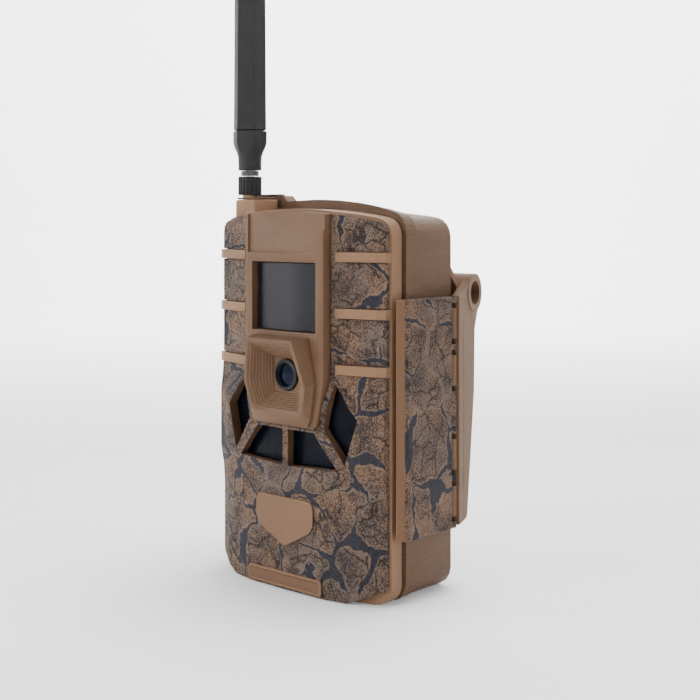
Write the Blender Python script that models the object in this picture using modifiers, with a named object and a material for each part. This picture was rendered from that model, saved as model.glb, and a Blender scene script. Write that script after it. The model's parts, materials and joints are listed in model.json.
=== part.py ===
"""Trail camera: a hinged two-part case with a camouflage cover, lens hood, side latch and antenna.

All sizes below are millimetres; MM turns them into Blender's metres when a shape is made.
X runs across the case (the latch is at +X), -Y is the way the lens looks, +Z is up.
Y = 0 is the front side edge of the case and Z = 0 its underside. The empty "camera" moves
everything so that the world origin lies on the underside, just in front of the tripod insert.
"""

import math

import bmesh
import bpy
from mathutils import Matrix, Vector

MM = 0.001
GAP = 0.3                        # air between pieces that touch
ORIGIN_Y = 21.0                  # world origin along Y

# Case, seen from the front
HALF_WIDTH = 47.0
TOP_CROWN = 153.4                # top of the front half at X = 0
TOP_DROP = 4.6                   # how much lower the arched top is at the side
CORNER = 7.0
WALL = 2.5

# Case, front to back
FRONT_HALF_BACK = 9.9
SEAM_BACK = 10.9
BEAD_BACK = 12.6
FLANGE_BACK = 17.8
BACK = 42.0
FLANGE_PROUD = 0.7
BEAD_PROUD = 1.4
FLANGE_CROWN = 155.9
FLANGE_DROP = 6.2
HUMP_TOP = 158.4                 # raised stretch of the flange behind the antenna
HOUSING_INSET = 0.8
HOUSING_CROWN = 153.4
HOUSING_DROP = 3.8

# Camouflage cover: its front surface at three heights, as Y at the X stations
COVER_STATIONS = (0.0, 20.0, 36.4, HALF_WIDTH)
COVER_UPPER = (-4.7, -4.7, -1.1, 1.9)
COVER_WINDOWS = (-7.0, -7.0, -4.4, 0.5)
COVER_LOWER = (-7.0, -6.8, -3.6, 2.8)
COVER_CROWN = 152.2
COVER_EDGE = 0.8                 # cover's outline inside the case's
UNDER_COVER_CENTRE = -3.4        # case wall behind the cover
UNDER_COVER_SIDE = 3.9
UNDER_COVER_BREAK = 22.0

# Ribs beside the bezel
RIB_LEVELS = (134.4, 112.4, 90.4)
RIB_HEIGHT = 3.8
RIB_INNER = (25.7, -5.1)
RIB_KNEE = (43.3, -0.9)
RIB_OUTER = (HALF_WIDTH - 0.2, 0.7)

# Bezel, motion window and lens
BEZEL_HALF = 22.2
BEZEL_FRONT = -8.3
BEZEL_BOTTOM = 66.4
BEZEL_FOOT_HALF = 17.6
BEZEL_WAIST = 86.0
MOTION_HALF = 18.0
MOTION_LOW = 104.2
MOTION_HIGH = 132.0
SHIELD = ((-20.4, 135.7), (8.8, 135.7), (13.4, 136.4), (16.1, 138.0), (24.3, 147.2), (24.3, 170.0), (-20.4, 170.0))
SHIELD_DEPTH = 0.9
LENS_Z = 86.5
LENS_FACE = -6.0
LENS_RADIUS = 6.3
HOOD_RIM = ((12.8, -16.6, 101.5), (17.3, -13.5, 83.5), (14.6, -12.0, 72.6), (13.0, -11.6, 71.2))
HOOD_BASE = ((14.4, 102.4), (18.6, 84.5), (16.4, 70.6), (14.9, 67.4))
HOOD_LIP = 1.4
LENS_FLAT = ((6.9, 93.4), (7.0, 86.0), (7.0, 81.0), (6.6, 79.5))

# Infrared windows, right-hand pair; the left pair mirrors them
LOWER_WINDOW = ((1.5, 64.9), (15.8, 64.9), (27.4, 51.4), (1.5, 50.2))
UPPER_WINDOW = ((25.0, 85.0), (36.4, 71.6), (30.8, 53.5), (20.8, 67.2))
FILTER_OUTLINE = ((25.2, 87.4), (38.6, 71.8), (32.6, 51.6), (28.4, 48.4))
FILTER_NOTCH = (18.8, 66.4)
FILTER_FACE = ((0.0, -2.6), (22.0, -2.5), (39.6, 2.2))

# Side latch and its hinge
LATCH_X = 52.0
LATCH_BACK = 35.4
LATCH_LOW = 25.4
LATCH_HIGH = 118.2
LATCH_AXIS = (50.2, 37.5)
KNUCKLE_RADIUS = 1.75
LATCH_PIN_RADIUS = 0.9
KNUCKLE_ENDS = (LATCH_LOW, 29.0, 43.4, 47.8, 62.2, 81.4, 95.8, 100.2, 114.6, LATCH_HIGH)
KNUCKLE_NOTCH = 2.2

# Tree bracket
WING_FRONT = (52.0, 39.9)
WING_ANGLE = math.radians(17.0)
WING_THICKNESS = 3.2
EYE = (46.3, 57.3, 118.7)
EYE_RADIUS = 7.9
EYE_HOLE = 5.0
EYE_LENGTH = 16.0
EYE_PROUD = 0.3                    # eye's face outside the wing's
PLATE_FRONT = 48.0
PLATE_BACK = 51.0
BRACKET_SCREWS = ((-31.0, 38.0), (31.0, 38.0), (-31.0, 122.0), (31.0, 122.0))

# Door hinge at the hidden seam
DOOR_AXIS = (-51.0, 10.6)
DOOR_KNUCKLE = 2.3
DOOR_PIN_RADIUS = 1.1
DOOR_HINGES = (34.0, 116.0)
DOOR_HINGE_LENGTH = 24.0

# Inner panel
PANEL_SCREWS = ((-40.0, 10.0), (40.0, 10.0), (-40.0, 140.0), (40.0, 140.0))

# Antenna
ANTENNA = (-31.3, 3.0)
BOSS_TOP = 157.4
PAD_TOP = 158.4
COLLAR_LOW = 159.4
COLLAR_HIGH = 167.2
COLLAR_RADIUS = 5.0
NECK_TOP = 175.4
SHOULDER = 182.0
JOINT = 186.5
ANTENNA_TOP = 325.0
ANTENNA_SIDE = 7.5
FLUTES = 18

# Batteries
CELL_RADIUS = 7.25
CELL_LENGTH = 50.5
CELL_PITCH = 15.2
CELL_Y = 26.0
ROW_LOW = (19.6, 73.2)


# ---------------------------------------------------------------- scene and materials

for leftover in list(bpy.data.objects):
    bpy.data.objects.remove(leftover, do_unlink=True)

PARTS = bpy.data.collections.new("trail_camera")
CUTTERS = bpy.data.collections.new("cutters")
bpy.context.scene.collection.children.link(PARTS)
bpy.context.scene.collection.children.link(CUTTERS)


def material(name, colour, roughness, metallic=0.0, alpha=1.0):
    """A Principled material with the part's colour and finish."""
    made = bpy.data.materials.new(name)
    made.use_nodes = True
    shader = made.node_tree.nodes["Principled BSDF"]
    shader.inputs["Base Color"].default_value = (*colour, 1.0)
    shader.inputs["Roughness"].default_value = roughness
    shader.inputs["Metallic"].default_value = metallic
    shader.inputs["Alpha"].default_value = alpha
    return made


BROWN = material("brown_shell", (0.26, 0.16, 0.10), 0.55)
CAMO = material("bark_cover", (0.20, 0.15, 0.11), 0.65)
BLACK = material("black_plastic", (0.03, 0.03, 0.032), 0.5)
SMOKE = material("smoked_window", (0.012, 0.014, 0.022), 0.12)
GLASS = material("lens_glass", (0.01, 0.014, 0.05), 0.05)
GREY = material("grey_plastic", (0.18, 0.18, 0.18), 0.55)
RUBBER = material("seal_rubber", (0.02, 0.02, 0.02), 0.8)
BRASS = material("brass", (0.55, 0.40, 0.16), 0.35, 1.0)
STEEL = material("steel", (0.55, 0.55, 0.55), 0.35, 1.0)
BOARD = material("circuit_board", (0.02, 0.12, 0.05), 0.5)
CELL = material("battery_wrap", (0.05, 0.05, 0.06), 0.4)


# ---------------------------------------------------------------- modelling helpers

def mm(*values):
    """Millimetres to a Blender vector in metres."""
    return Vector(values) * MM


def into(obj, collection):
    """Keep an object in one collection only."""
    for holder in list(obj.users_collection):
        holder.objects.unlink(obj)
    collection.objects.link(obj)
    return obj


def box(name, low, high):
    """A block between two corners."""
    low = mm(*low)
    high = mm(*high)
    bpy.ops.mesh.primitive_cube_add(size=1.0, location=(low + high) / 2)
    made = into(bpy.context.object, PARTS)
    made.name = name
    made.data.transform(Matrix.Diagonal((*(high - low), 1.0)))
    return made


TURNS = {"X": (0.0, math.pi / 2, 0.0), "Y": (math.pi / 2, 0.0, 0.0), "Z": (0.0, 0.0, 0.0)}


def cylinder(name, centre, radius, length, axis="Z", sides=24):
    """A round bar about the centre, along one axis."""
    bpy.ops.mesh.primitive_cylinder_add(vertices=sides, radius=radius * MM, depth=length * MM,
                                        location=mm(*centre), rotation=TURNS[axis])
    made = into(bpy.context.object, PARTS)
    made.name = name
    made.data.shade_smooth()
    made.data.set_sharp_from_angle(angle=math.radians(40))
    return made


def turned(name, profile, at, axis="Z", steps=24):
    """A profile of (radius, height) pairs, top to bottom on its outer side, turned about an axis."""
    mesh = bpy.data.meshes.new(name)
    points = [(radius * MM, 0.0, height * MM) for radius, height in profile]
    edges = [(i, i + 1) for i in range(len(points) - 1)]
    mesh.from_pydata(points, edges, [])
    made = bpy.data.objects.new(name, mesh)
    PARTS.objects.link(made)
    made.location = mm(*at)
    made.rotation_euler = TURNS[axis]
    screw = made.modifiers.new("turn", "SCREW")
    screw.steps = steps
    screw.render_steps = steps
    screw.use_merge_vertices = True
    screw.merge_threshold = 0.00001
    return made


PLANES = {"X": (math.pi / 2, 0.0, math.pi / 2), "Y": (math.pi / 2, 0.0, 0.0), "Z": (0.0, 0.0, 0.0)}


def plate(name, outline, low, high, axis="Y"):
    """A flat outline given thickness from low to high along an axis.

    The outline is (x, z) for Y, (x, y) for Z and (y, z) for X.
    """
    curve = bpy.data.curves.new(name, "CURVE")
    curve.dimensions = "2D"
    curve.fill_mode = "BOTH"
    curve.extrude = abs(high - low) / 2 * MM
    spline = curve.splines.new("POLY")
    spline.points.add(len(outline) - 1)
    for point, (across, up) in zip(spline.points, outline):
        point.co = (across * MM, up * MM, 0.0, 1.0)
    spline.use_cyclic_u = True
    guide = bpy.data.objects.new(name + "_outline", curve)
    PARTS.objects.link(guide)
    middle = (low + high) / 2 * MM
    guide.location = {"X": (middle, 0, 0), "Y": (0, middle, 0), "Z": (0, 0, middle)}[axis]
    guide.rotation_euler = PLANES[axis]
    bpy.context.view_layer.update()
    seen = guide.evaluated_get(bpy.context.evaluated_depsgraph_get())
    mesh = bpy.data.meshes.new_from_object(seen)
    weld = bmesh.new()
    weld.from_mesh(mesh)
    bmesh.ops.remove_doubles(weld, verts=weld.verts, dist=0.000001)
    bmesh.ops.recalc_face_normals(weld, faces=weld.faces)
    weld.to_mesh(mesh)
    weld.free()
    made = bpy.data.objects.new(name, mesh)
    PARTS.objects.link(made)
    made.matrix_world = guide.matrix_world
    bpy.data.objects.remove(guide, do_unlink=True)
    return made


def combine(target, other, operation):
    """Boolean another object into the target; the other becomes a hidden helper."""
    step = target.modifiers.new(other.name, "BOOLEAN")
    step.operation = operation
    step.solver = "EXACT"
    step.object = other
    into(other, CUTTERS)
    other.hide_render = True
    other.display_type = "WIRE"


def cut(target, *others):
    """Remove the others from the target."""
    for other in others:
        combine(target, other, "DIFFERENCE")


def join(target, *others):
    """Add the others to the target as one solid."""
    for other in others:
        combine(target, other, "UNION")


def keep(target, other):
    """Keep only what the target shares with the other."""
    combine(target, other, "INTERSECT")


def soften(obj, width, angle=40.0, segments=2):
    """Round the sharp edges."""
    bevel = obj.modifiers.new("soft_edges", "BEVEL")
    bevel.width = width * MM
    bevel.segments = segments
    bevel.limit_method = "ANGLE"
    bevel.angle_limit = math.radians(angle)
    bevel.use_clamp_overlap = True


def finish(obj, surface):
    """Give the piece its material."""
    obj.data.materials.clear()
    obj.data.materials.append(surface)
    return obj


def rounded(corners, steps=4):
    """A closed outline whose (x, y, radius) corners become arcs."""
    outline = []
    count = len(corners)
    for i, (x, y, radius) in enumerate(corners):
        here = Vector((x, y))
        if radius <= 0:
            outline.append((x, y))
            continue
        before = (Vector(corners[i - 1][:2]) - here).normalized()
        after = (Vector(corners[(i + 1) % count][:2]) - here).normalized()
        half = before.angle(after) / 2
        centre = here + (before + after).normalized() * (radius / math.sin(half))
        start = here + before * (radius / math.tan(half)) - centre
        end = here + after * (radius / math.tan(half)) - centre
        sweep = start.angle_signed(end)
        for k in range(steps + 1):
            spot = centre + start @ Matrix.Rotation(sweep * k / steps, 2)
            outline.append((spot.x, spot.y))
    return outline


def mirrored(points):
    """A closed outline from its right half, listed from the top middle side round to the bottom."""
    return list(points) + [(-x, y) for x, y in reversed(points)]


def arch(x, crown, drop):
    """Height of an arched top at X."""
    return crown - drop * (x / HALF_WIDTH) ** 2


def case_outline(inset=0.0, crown=TOP_CROWN, drop=TOP_DROP, hump=None, corner=CORNER, bottom=None):
    """The case from the front: flat bottom, straight sides and an arched top.

    hump, when given, is the height of the raised stretch behind the antenna, and bottom the
    height of the underside where it isn't simply the inset.
    """
    half = HALF_WIDTH - inset
    radius = max(corner - inset, 1.0)
    low = inset if bottom is None else bottom
    corners = [(-half, low, radius), (half, low, radius), (half, arch(half, crown, drop) - inset, radius)]
    stations = [34.0, 24.0, 12.0, 0.0, -12.0] if hump else [34.0, 24.0, 12.0, 0.0, -12.0, -24.0, -34.0]
    corners += [(x, arch(x, crown, drop) - inset, 0) for x in stations]
    if hump:
        corners += [(-16.6, arch(16.6, crown, drop) - inset, 0), (-20.2, hump - inset, 0),
                    (-38.0, hump - inset, 0), (-42.0, hump - 3.6 - inset, 0)]
    corners.append((-half, arch(half, crown, drop) - inset, radius if not hump else min(radius, 4.0)))
    return rounded(corners)


def cover_front(x, z):
    """Y of the cover's front surface: level on top, swelling round the windows, folding back at the sides."""
    def across(stations):
        x_side = min(abs(x), HALF_WIDTH)
        for i in range(len(COVER_STATIONS) - 1):
            near, far = COVER_STATIONS[i], COVER_STATIONS[i + 1]
            if x_side <= far:
                share = (x_side - near) / (far - near)
                return stations[i] + (stations[i + 1] - stations[i]) * share
        return stations[-1]

    def ease(low, high):
        share = min(max((z - low) / (high - low), 0.0), 1.0)
        return share * share * (3 - 2 * share)

    lower_to_windows = ease(40.0, 52.0)
    windows_to_upper = ease(78.0, 88.0)
    lower = across(COVER_LOWER)
    windows = across(COVER_WINDOWS)
    upper = across(COVER_UPPER)
    swell = lower + (windows - lower) * lower_to_windows
    return swell + (upper - swell) * windows_to_upper


def under_cover_plan(inset=0.0):
    """Plan outline of the front half behind the cover, open towards the back."""
    side = HALF_WIDTH - inset
    deep = inset
    slope_end = UNDER_COVER_SIDE + deep
    middle = UNDER_COVER_CENTRE + deep
    half = [(UNDER_COVER_BREAK, middle), (side, slope_end), (side, FRONT_HALF_BACK + 4.0)]
    return mirrored(half)


def windows(grow):
    """The four infrared window outlines, each moved outwards by grow."""
    found = []
    for corners in (LOWER_WINDOW, UPPER_WINDOW):
        middle_x = sum(x for x, z in corners) / 4
        middle_z = sum(z for x, z in corners) / 4
        grown = []
        for x, z in corners:
            away = Vector((x - middle_x, z - middle_z))
            away += away.normalized() * grow
            grown.append((middle_x + away.x, middle_z + away.y))
        found.append(grown)
        found.append([(-x, z) for x, z in reversed(grown)])
    return found


def filter_outline(grow):
    """Outline of the infrared filter plate, a U under the lens."""
    right = [(FILTER_NOTCH[0] - grow, FILTER_NOTCH[1] + grow)]
    right += [(x + (grow if x > 30 else 0), z + grow * (1 if z > 60 else -1)) for x, z in FILTER_OUTLINE]
    return mirrored(right)


def bezel_outline(grow):
    """The bezel from the front: a strap that narrows below its waist."""
    half = BEZEL_HALF + grow
    foot = BEZEL_FOOT_HALF + grow
    top = [(x, arch(x, COVER_CROWN + 0.2, TOP_DROP) + grow) for x in (0.0, 11.0, half)]
    right = top + [(half, BEZEL_WAIST), (foot + 0.9, BEZEL_BOTTOM + 2.0 - grow), (foot - 0.8, BEZEL_BOTTOM - grow)]
    return mirrored(right[1:])


# ---------------------------------------------------------------- front half of the case

def antenna_boss():
    """Raised block on top of the front half that carries the antenna."""
    plan = [(-40.8, 9.0), (-40.8, 3.6), (-35.0, -1.2), (-24.0, -1.2), (-20.4, 2.4), (-20.4, 9.0)]
    block = plate("antenna_boss", plan, 145.0, BOSS_TOP, "Z")
    soften(block, 0.6)
    cover_space = plate("cover_space", cover_outline(GAP), -14.0, 10.0)
    cut(cover_space, plate("cover_back", under_cover_plan(), -5.0, 170.0, "Z"))
    cut(block, cover_space)
    return block


def rib(side, level):
    """One raised bar that passes through the cover."""
    plan = [RIB_INNER, RIB_KNEE, RIB_OUTER, (RIB_OUTER[0], 6.0), (RIB_INNER[0], 1.0)]
    plan = [(side * x, y) for x, y in plan]
    return plate("rib_bar", plan, level - RIB_HEIGHT / 2, level + RIB_HEIGHT / 2, "Z")


def front_case():
    """The front half: a deep tray with ribs, boss and hinge knuckles."""
    case = plate("front_case", case_outline(bottom=GAP), -9.0, FRONT_HALF_BACK)
    keep(case, plate("front_plan", under_cover_plan(), -5.0, 170.0, "Z"))
    for side in (-1, 1):
        for level in RIB_LEVELS:
            join(case, rib(side, level))
    join(case, antenna_boss())
    cavity = plate("front_cavity", case_outline(WALL), -9.0, FRONT_HALF_BACK + 1.0)
    keep(cavity, plate("front_cavity_plan", under_cover_plan(2.0), -5.0, 170.0, "Z"))
    cut(case, cavity)
    cut(case, plate("filter_seat", filter_outline(GAP), -9.0, 6.0))
    cut(case, box("motion_port", (-14.0, -9.0, 107.0), (14.0, 3.0, 129.0)))
    cut(case, cylinder("lens_port", (0, -3.0, LENS_Z), LENS_RADIUS + 0.5, 8.0, "Y"))
    cut(case, cylinder("connector_port", (*ANTENNA, 154.0), 3.5, 16.0))
    for level in DOOR_HINGES:
        door_knuckles(case, level, (0.0, 0.5), (-HALF_WIDTH, 8.3, FRONT_HALF_BACK - GAP))
    return finish(case, BROWN)


def door_knuckles(case, level, share, web):
    """Half of one door hinge: a barrel round the axis and the web that holds it."""
    low = level + DOOR_HINGE_LENGTH * (share[0] - 0.5) + GAP
    high = level + DOOR_HINGE_LENGTH * (share[1] - 0.5) - GAP
    middle = (low + high) / 2
    wall_x, web_front, web_back = web
    barrel = cylinder("door_barrel", (*DOOR_AXIS, middle), DOOR_KNUCKLE, high - low, sides=16)
    arm = box("door_arm", (DOOR_AXIS[0], web_front, low), (wall_x + 1.0, web_back, high))
    join(case, arm, barrel)
    cut(case, cylinder("door_bore", (*DOOR_AXIS, middle), DOOR_PIN_RADIUS + GAP, high - low + 2.0, sides=16))


def cover_blank():
    """A block whose front follows the cover's swelling surface."""
    bpy.ops.mesh.primitive_grid_add(x_subdivisions=24, y_subdivisions=20, size=1.0)
    blank = into(bpy.context.object, PARTS)
    blank.name = "camo_cover"
    work = bmesh.new()
    work.from_mesh(blank.data)
    for vertex in work.verts:
        x = vertex.co.x * 2 * (HALF_WIDTH + 3.0)
        z = (vertex.co.y + 0.5) * (COVER_CROWN + 8.0) - 4.0
        vertex.co = mm(x, cover_front(x, z), z)
    grown = bmesh.ops.extrude_face_region(work, geom=list(work.faces))
    for vertex in (item for item in grown["geom"] if isinstance(item, bmesh.types.BMVert)):
        vertex.co.y = 12.0 * MM
    bmesh.ops.recalc_face_normals(work, faces=work.faces)
    work.to_mesh(blank.data)
    work.free()
    return blank


def cover_outline(grow=0.0):
    """The cover from the front, with cut-back lower corners."""
    half = HALF_WIDTH - COVER_EDGE + grow
    crown = COVER_CROWN + grow
    top = [(x, arch(x, crown, TOP_DROP), 0) for x in (34.0, 22.0, 11.0, 0.0, -11.0, -22.0, -34.0)]
    corner_top = arch(half, crown, TOP_DROP)
    corners = [(-31.0, GAP, 3.0), (31.0, GAP, 3.0), (half, 6.4, 2.0), (half, corner_top, 4.5)]
    corners += top + [(-half, corner_top, 4.5), (-half, 6.4, 2.0)]
    return rounded(corners, 3)


def camo_cover():
    """Printed bark cover, round the bezel and over the infrared windows."""
    cover = cover_blank()
    keep(cover, plate("cover_outline", cover_outline(), -14.0, 10.0))
    plan = [(x, y - GAP) for x, y in under_cover_plan()]
    cut(cover, plate("cover_underside", plan, -8.0, 170.0, "Z"))
    cut(cover, plate("bezel_seat", bezel_outline(GAP), -14.0, 10.0))
    for outline in windows(0.0):
        cut(cover, plate("window_cut", outline, -14.0, 10.0))
    for side in (-1, 1):
        for level in RIB_LEVELS:
            reach = sorted((side * (RIB_INNER[0] - GAP), side * (HALF_WIDTH + 4.0)))
            low = level - RIB_HEIGHT / 2 - GAP
            high = level + RIB_HEIGHT / 2 + GAP
            cut(cover, box("rib_slot", (reach[0], -12.0, low), (reach[1], 10.0, high)))
    return finish(cover, CAMO)


def loft(name, rings):
    """A closed solid through rings of points in millimetres, all with the same count."""
    mesh = bpy.data.meshes.new(name)
    work = bmesh.new()
    loops = [[work.verts.new(mm(*point)) for point in ring] for ring in rings]
    count = len(rings[0])
    for near, far in zip(loops, loops[1:]):
        for i in range(count):
            j = (i + 1) % count
            work.faces.new((near[i], near[j], far[j], far[i]))
    work.faces.new(loops[0])
    work.faces.new(list(reversed(loops[-1])))
    bmesh.ops.triangulate(work, faces=work.faces)
    bmesh.ops.recalc_face_normals(work, faces=work.faces)
    work.to_mesh(mesh)
    work.free()
    made = bpy.data.objects.new(name, mesh)
    PARTS.objects.link(made)
    return made


def both_sides(points):
    """A ring from its right half."""
    return list(points) + [(-x, y, z) for x, y, z in reversed(points)]


def lens_hood():
    """The visor round the lens: a faceted block that leans out at the top."""
    base = both_sides([(x, BEZEL_FRONT + 1.5, z) for x, z in HOOD_BASE])
    skirt = both_sides([(x, BEZEL_FRONT - HOOD_LIP, z) for x, z in HOOD_BASE])
    rim = both_sides(HOOD_RIM)
    return loft("hood_block", [base, skirt, rim])


def hood_funnel():
    """The recess inside the hood, narrowing to the flat round the lens."""
    inner = [(x - 1.2, y, z + (-1.3 if z > 90 else 1.0)) for x, y, z in HOOD_RIM]
    inner[1] = (HOOD_RIM[1][0] - 1.4, HOOD_RIM[1][1], HOOD_RIM[1][2])
    flat = [(x, LENS_FACE, z) for x, z in LENS_FLAT]
    mouth = [(x + (x - fx) * 0.5, y + (y - fy) * 0.5, z + (z - fz) * 0.5)
             for (x, y, z), (fx, fy, fz) in zip(inner, flat)]
    return loft("hood_funnel", [both_sides(flat), both_sides(inner), both_sides(mouth)])


def center_bezel():
    """Central strap with the motion window, the lens hood and its funnel."""
    bezel = plate("center_bezel", bezel_outline(0.0), BEZEL_FRONT, UNDER_COVER_CENTRE - GAP)
    soften(bezel, 0.7)
    join(bezel, lens_hood())
    cut(bezel, hood_funnel())
    port = cylinder("lens_seat", (0, -6.0, LENS_Z), LENS_RADIUS + GAP, 8.0, "Y", 32)
    cut(bezel, port)
    cut(bezel, box("motion_opening", (-MOTION_HALF, -12.0, MOTION_LOW), (MOTION_HALF, 2.0, MOTION_HIGH)))
    cut(bezel, plate("shield_panel", SHIELD, BEZEL_FRONT - 5.0, BEZEL_FRONT + SHIELD_DEPTH))
    return finish(bezel, BROWN)


# ---------------------------------------------------------------- optics and electronics

def motion_window():
    """Bowed smoked lens of the motion sensor."""
    half = MOTION_HALF - GAP
    bow = 2.0
    front = []
    for k in range(13):
        x = -half + 2 * half * k / 12
        front.append((x, -5.2 - bow * (1 - (x / half) ** 2)))
    back = [(x, y + 1.2) for x, y in reversed(front)]
    made = plate("motion_window", front + back, MOTION_LOW + GAP, MOTION_HIGH - GAP, "Z")
    return finish(made, SMOKE)


def optics():
    """Lens cover glass, its ring and the barrel behind."""
    ring_profile = [(5.0, 1.9), (LENS_RADIUS, 1.3), (LENS_RADIUS, -1.0), (4.9, -1.0), (4.9, 0.6), (5.0, 1.9)]
    ring = turned("lens_ring", ring_profile, (0, LENS_FACE + 0.4, LENS_Z), "Y", 32)
    finish(ring, BLACK)
    glass_profile = [(0, 0.75), (2.4, 0.62), (4.6, 0.1), (4.6, -0.8), (0, -0.8)]
    glass = turned("lens_glass", glass_profile, (0, LENS_FACE + 0.4, LENS_Z), "Y", 32)
    finish(glass, GLASS)
    barrel = turned("lens_barrel", [(0, 0), (5.6, 0), (5.6, -3.0), (6.1, -3.0), (6.1, -4.2), (0, -4.2)],
                    (0, LENS_FACE + 1.7, LENS_Z), "Y", 24)
    finish(barrel, BLACK)
    return ring, glass, barrel


def infrared_filter():
    """Smoked plate behind the four windows, folded back at both sides."""
    front = [(-x, y) for x, y in reversed(FILTER_FACE[1:])] + list(FILTER_FACE[1:])
    back = [(x, y + 1.0) for x, y in reversed(front)]
    made = plate("ir_filter", front + back, 46.0, 90.0, "Z")
    keep(made, plate("filter_shape", filter_outline(0.0), -6.0, 8.0))
    return finish(made, SMOKE)


def led_board():
    """Board with the infrared diodes, under the lens."""
    board = box("ir_led_board", (-24.0, 0.2, 50.0), (24.0, 1.4, 64.0))
    for column in range(-4, 5):
        for row in range(2):
            if column == 0:
                continue
            at = (column * 5.2, -0.3, 54.0 + row * 6.4)
            join(board, cylinder("ir_diode", at, 1.5, 1.6, "Y", 8))
    return finish(board, BOARD)


def boards():
    """Camera board, main board and the phone-network module."""
    camera = finish(box("camera_board", (-12.0, 1.3, 74.0), (12.0, 2.5, 99.0)), BOARD)
    main = finish(box("main_board", (-38.0, 5.0, 14.0), (38.0, 6.4, 140.0)), BOARD)
    modem = box("modem_module", (-30.0, 1.6, 16.0), (-4.0, 4.7, 44.0))
    soften(modem, 0.4, segments=1)
    finish(modem, STEEL)
    sensor_profile = [(0, 3.2), (3.9, 3.2), (4.2, 2.8), (4.2, 0.4), (4.6, 0.4), (4.6, 0), (0, 0)]
    sensor = turned("motion_sensor", sensor_profile, (0, 3.6, 118.0), "Y", 20)
    finish(sensor, STEEL)
    return camera, main, modem, sensor


def inner_panel():
    """Back wall of the front half, with the controls' openings."""
    panel = plate("inner_panel", case_outline(WALL + GAP), 7.9, 9.5)
    cut(panel, box("display_cut", (-22.0, 6.0, 92.0), (22.0, 11.0, 126.0)))
    cut(panel, box("switch_cut", (-7.0, 6.0, 56.0), (7.0, 11.0, 60.4)))
    cut(panel, box("card_cut", (-37.0, 6.0, 12.0), (-9.0, 11.0, 50.0)))
    for x in (-14.0, 0.0, 14.0):
        cut(panel, cylinder("button_cut", (x, 8.7, 76.0), 3.3, 4.0, "Y", 20))
    for x, z in PANEL_SCREWS:
        cut(panel, cylinder("screw_cut", (x, 8.7, z), 1.7, 4.0, "Y", 12))
    return finish(panel, GREY)


def panel_parts():
    """Display window, card socket and the panel's screws."""
    display = box("display_window", (-21.6, 8.0, 92.4), (21.6, 9.2, 125.6))
    soften(display, 0.3, segments=1)
    finish(display, SMOKE)
    socket = box("card_socket", (-36.4, 6.9, 34.0), (-9.6, 11.2, 49.6))
    cut(socket, box("card_slot", (-35.3, 7.8, 30.0), (-10.7, 10.6, 48.6)))
    finish(socket, STEEL)
    found = [display, socket]
    for number, (x, z) in enumerate(PANEL_SCREWS, 1):
        profile = [(0, 1.5), (2.1, 1.5), (2.4, 0.9), (2.4, 0.3), (1.3, 0.3), (1.3, -2.4), (0, -2.4)]
        screw = turned("panel_screw_%d" % number, profile, (x, 9.5, z), "Y", 8)
        screw.rotation_euler = (-math.pi / 2, 0.0, 0.0)
        found.append(finish(screw, STEEL))
    return found


# ---------------------------------------------------------------- badge and name plate

def badge():
    """Plain raised shield on the lower front."""
    outline = rounded([(-16.0, 37.6, 3.0), (-16.0, 26.0, 6.0), (0.0, 17.6, 4.0), (16.0, 26.0, 6.0),
                       (16.0, 37.6, 3.0)])
    made = plate("front_badge", outline, -7.9, -7.3)
    return finish(made, BROWN)


def name_plate():
    """Blank plate along the lower edge."""
    outline = rounded([(-20.6, 1.2, 0.8), (20.6, 1.2, 0.8), (20.6, 7.6, 1.2), (-20.6, 7.6, 1.2)], 2)
    made = plate("name_plate", outline, -7.9, -7.3)
    return finish(made, BROWN)


# ---------------------------------------------------------------- rear half of the case

def rear_case():
    """The rear half: flange, bead and a deep housing for the batteries."""
    flange = case_outline(-FLANGE_PROUD, FLANGE_CROWN, FLANGE_DROP, HUMP_TOP, bottom=0.4)
    bead = case_outline(-BEAD_PROUD, FLANGE_CROWN, FLANGE_DROP, HUMP_TOP, bottom=0.2)
    case = plate("rear_case", flange, SEAM_BACK + 0.4, FLANGE_BACK)
    join(case, plate("bead", bead, SEAM_BACK, BEAD_BACK))
    shape = case_outline(HOUSING_INSET, HOUSING_CROWN, HOUSING_DROP, corner=9.0, bottom=0.0)
    housing = plate("housing", shape, SEAM_BACK + 3.0, BACK)
    soften(housing, 4.5, 60.0, 3)
    join(case, housing)
    cut(case, plate("rear_cavity", case_outline(WALL + 2.1, HOUSING_CROWN), SEAM_BACK - 2.0, BACK - WALL))
    cut(case, plate("seal_seat", case_outline(2.1), SEAM_BACK - 2.0, SEAM_BACK + 2.0))
    for level in DOOR_HINGES:
        door_knuckles(case, level, (0.5, 1.0), (-HALF_WIDTH, SEAM_BACK + GAP, 15.4))
    for x, z in BRACKET_SCREWS:
        cut(case, cylinder("bracket_thread", (x, BACK - 1.0, z), 1.9, 8.0, "Y", 12))
    boss = cylinder("insert_boss", (0, 30.0, 5.5), 6.5, 10.6)
    join(case, boss)
    cut(case, cylinder("insert_seat", (0, 30.0, 3.0), 4.5, 12.0))
    return finish(case, BROWN)


def door_seal():
    """Rubber ring in the flange."""
    seal = plate("door_seal", case_outline(2.1 + GAP), 10.2, SEAM_BACK + 2.0 - GAP)
    cut(seal, plate("seal_hole", case_outline(4.2), 8.0, 16.0))
    return finish(seal, RUBBER)


def tripod_insert():
    """Threaded brass bush in the underside."""
    profile = [(3.4, 8.6), (4.2, 8.2), (4.2, 0.3), (3.2, 0.3), (3.2, 8.2), (3.4, 8.6)]
    return finish(turned("tripod_insert", profile, (0, 30.0, 0.1)), BRASS)


# ---------------------------------------------------------------- batteries

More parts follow.
